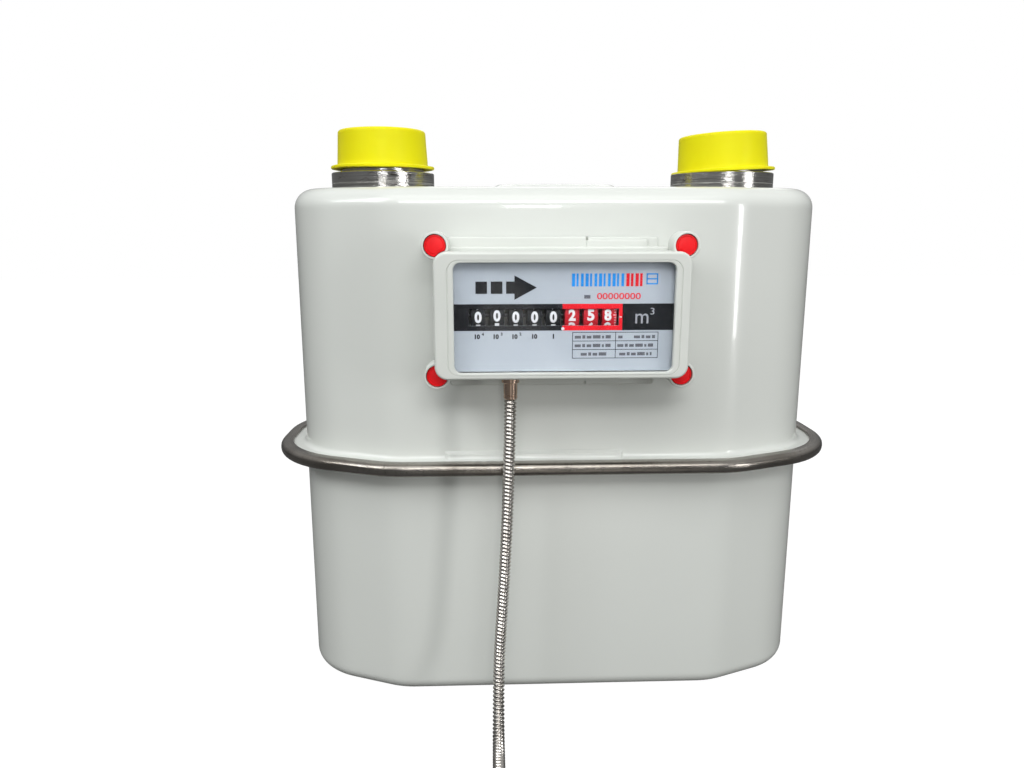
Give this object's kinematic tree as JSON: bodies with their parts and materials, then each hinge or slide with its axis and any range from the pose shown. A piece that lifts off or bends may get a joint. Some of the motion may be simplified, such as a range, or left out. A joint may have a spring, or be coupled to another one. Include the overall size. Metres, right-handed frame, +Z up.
{
  "type": "gas meter",
  "caption": "Diaphragm gas meter: painted pressed-steel case with a seam band, capped top connections, a drum index behind a window and a pulse lead in metal conduit.",
  "frame": {"origin": "centre of the bottom face of the lower case, midway between the two pipe connections", "axes": "+Z up, -Y towards the index on the front, +X to the right seen from the front, towards the outlet"},
  "size_m": [0.3626, 0.3499, 0.3546],
  "materials": {
    "painted_case": "gloss",
    "band_steel": "satin",
    "stub_steel": "bright",
    "cap_plastic": "satin",
    "gasket_rubber": "matte",
    "unit_plastic": "matte",
    "diaphragm_rubber": "matte",
    "zinc_steel": "satin",
    "brass": "satin",
    "gear_plastic": "matte",
    "index_moulding": "satin",
    "window": "clear",
    "dial_print": "matte",
    "drum_black": "satin",
    "drum_red": "satin",
    "seal_red": "satin",
    "circuit_board": "satin",
    "ferrule_metal": "bright",
    "conduit_steel": "bright",
    "lead_plastic": "matte"
  },
  "bodies": {
    "case": {"upper_case": "painted_case", "lower_case": "painted_case", "case_gasket": "gasket_rubber", "seam_band": "band_steel", "inlet_stub": "stub_steel", "outlet_stub": "stub_steel", "centre_frame": "unit_plastic", "front_chamber_cover": "unit_plastic", "rear_chamber_cover": "unit_plastic", "front_diaphragm": "diaphragm_rubber", "rear_diaphragm": "diaphragm_rubber", "valve_seat": "gear_plastic", "crank_bridge": "gear_plastic", "outlet_duct": "zinc_steel", "drive_bracket": "zinc_steel", "gland_bush": "brass", "index_back_plate": "index_moulding", "counter_frame": "zinc_steel", "drum_shaft": "zinc_steel", "dial_plate": "dial_print", "index_cover": "index_moulding", "index_lens": "window", "seal_top_left": "seal_red", "seal_top_right": "seal_red", "seal_bottom_left": "seal_red", "seal_bottom_right": "seal_red", "reed_board": "circuit_board", "lead_ferrule": "ferrule_metal", "lead_tube": "conduit_steel", "lead_coil": "conduit_steel", "lead_tie": "lead_plastic", "lead_connector": "lead_plastic"},
    "crank": {"crank_spindle": "zinc_steel", "rotary_valve": "unit_plastic", "drive_follower": "gear_plastic", "spindle_gear": "brass"},
    "front_flag": {"front_flag_rod": "zinc_steel", "front_long_arm": "zinc_steel"},
    "rear_flag": {"rear_flag_rod": "zinc_steel", "rear_long_arm": "zinc_steel"},
    "front_plate": {"front_disc": "zinc_steel"},
    "rear_plate": {"rear_disc": "zinc_steel"},
    "front_crank_link": {"front_link": "brass"},
    "rear_crank_link": {"rear_link": "brass"},
    "drive": {"drive_shaft": "zinc_steel", "drive_gear": "brass"},
    "pinion": {"pinion_shaft": "gear_plastic"},
    "inlet_plug": {"inlet_cap": "cap_plastic"},
    "outlet_plug": {"outlet_cap": "cap_plastic"},
    "decade_1": {"drum_1": "drum_black"},
    "decade_2": {"drum_2": "drum_black"},
    "decade_3": {"drum_3": "drum_black"},
    "decade_4": {"drum_4": "drum_black"},
    "decade_5": {"drum_5": "drum_black"},
    "decade_6": {"drum_6": "drum_red"},
    "decade_7": {"drum_7": "drum_red", "pulse_magnet": "zinc_steel"},
    "decade_8": {"drum_8": "drum_red", "drum_gear": "gear_plastic"}
  },
  "joints": [
    {"name": "crank_turn", "type": "hinge", "parent": "case", "child": "crank", "pos_m": [0, 0, 0.16], "axis": [0, 0, 1], "continuous": true},
    {"name": "drive_turn", "type": "hinge", "parent": "case", "child": "drive", "pos_m": [0, -0.05, 0.263], "axis": [0, 1, 0], "continuous": true},
    {"name": "pinion_turn", "type": "hinge", "parent": "case", "child": "pinion", "pos_m": [0.02, -0.0847, 0.263], "axis": [1, 0, 0], "continuous": true},
    {"name": "drum_1_turn", "type": "hinge", "parent": "case", "child": "decade_1", "pos_m": [-0.0492, -0.0847, 0.2465], "axis": [1, 0, 0], "continuous": true},
    {"name": "drum_2_turn", "type": "hinge", "parent": "case", "child": "decade_2", "pos_m": [-0.0389, -0.0847, 0.2465], "axis": [1, 0, 0], "continuous": true},
    {"name": "drum_3_turn", "type": "hinge", "parent": "case", "child": "decade_3", "pos_m": [-0.0286, -0.0847, 0.2465], "axis": [1, 0, 0], "continuous": true},
    {"name": "drum_4_turn", "type": "hinge", "parent": "case", "child": "decade_4", "pos_m": [-0.0183, -0.0847, 0.2465], "axis": [1, 0, 0], "continuous": true},
    {"name": "drum_5_turn", "type": "hinge", "parent": "case", "child": "decade_5", "pos_m": [-0.008, -0.0847, 0.2465], "axis": [1, 0, 0], "continuous": true},
    {"name": "drum_6_turn", "type": "hinge", "parent": "case", "child": "decade_6", "pos_m": [0.0023, -0.0847, 0.2465], "axis": [1, 0, 0], "continuous": true},
    {"name": "drum_7_turn", "type": "hinge", "parent": "case", "child": "decade_7", "pos_m": [0.0126, -0.0847, 0.2465], "axis": [1, 0, 0], "continuous": true},
    {"name": "drum_8_turn", "type": "hinge", "parent": "case", "child": "decade_8", "pos_m": [0.0229, -0.0847, 0.2465], "axis": [1, 0, 0], "continuous": true},
    {"name": "front_link_turn", "type": "hinge", "parent": "crank", "child": "front_crank_link", "pos_m": [0, 0.0125, 0.19], "axis": [0, 0, 1], "continuous": true},
    {"name": "rear_link_turn", "type": "hinge", "parent": "crank", "child": "rear_crank_link", "pos_m": [0, 0.0125, 0.19], "axis": [0, 0, 1], "continuous": true},
    {"name": "front_flag_swing", "type": "hinge", "parent": "case", "child": "front_flag", "pos_m": [-0.086, -0.05, 0.1], "axis": [0, 0, 1], "range_deg": [-10, 10]},
    {"name": "rear_flag_swing", "type": "hinge", "parent": "case", "child": "rear_flag", "pos_m": [0.086, 0.05, 0.1], "axis": [0, 0, 1], "range_deg": [-10, 10]},
    {"name": "front_disc_travel", "type": "slide", "parent": "case", "child": "front_plate", "axis": [0, 1, 0], "range_m": [-0.0134, 0.0134]},
    {"name": "rear_disc_travel", "type": "slide", "parent": "case", "child": "rear_plate", "axis": [0, -1, 0], "range_m": [-0.0134, 0.0134]},
    {"name": "inlet_cap_lift", "type": "slide", "parent": "case", "child": "inlet_plug", "axis": [0, 0, 1], "range_m": [0, 0.04]},
    {"name": "outlet_cap_lift", "type": "slide", "parent": "case", "child": "outlet_plug", "axis": [0, 0, 1], "range_m": [0, 0.04]}
  ],
  "couplings": [
    {"joint": "drive_turn", "follows": "crank_turn", "ratio": -0.35},
    {"joint": "pinion_turn", "follows": "crank_turn", "ratio": 0.35},
    {"joint": "drum_1_turn", "follows": "crank_turn", "ratio": -0.000000035},
    {"joint": "drum_2_turn", "follows": "crank_turn", "ratio": -0.00000035},
    {"joint": "drum_3_turn", "follows": "crank_turn", "ratio": -0.0000035},
    {"joint": "drum_4_turn", "follows": "crank_turn", "ratio": -0.000035},
    {"joint": "drum_5_turn", "follows": "crank_turn", "ratio": -0.00035},
    {"joint": "drum_6_turn", "follows": "crank_turn", "ratio": -0.0035},
    {"joint": "drum_7_turn", "follows": "crank_turn", "ratio": -0.035},
    {"joint": "drum_8_turn", "follows": "crank_turn", "ratio": -0.35},
    {"joint": "front_link_turn", "follows": "crank_turn", "ratio": -1},
    {"joint": "rear_link_turn", "follows": "crank_turn", "ratio": -1},
    {"joint": "front_disc_travel", "follows": "front_flag_swing", "m_per_rad": 0.0757},
    {"joint": "rear_disc_travel", "follows": "rear_flag_swing", "m_per_rad": 0.0757}
  ]
}
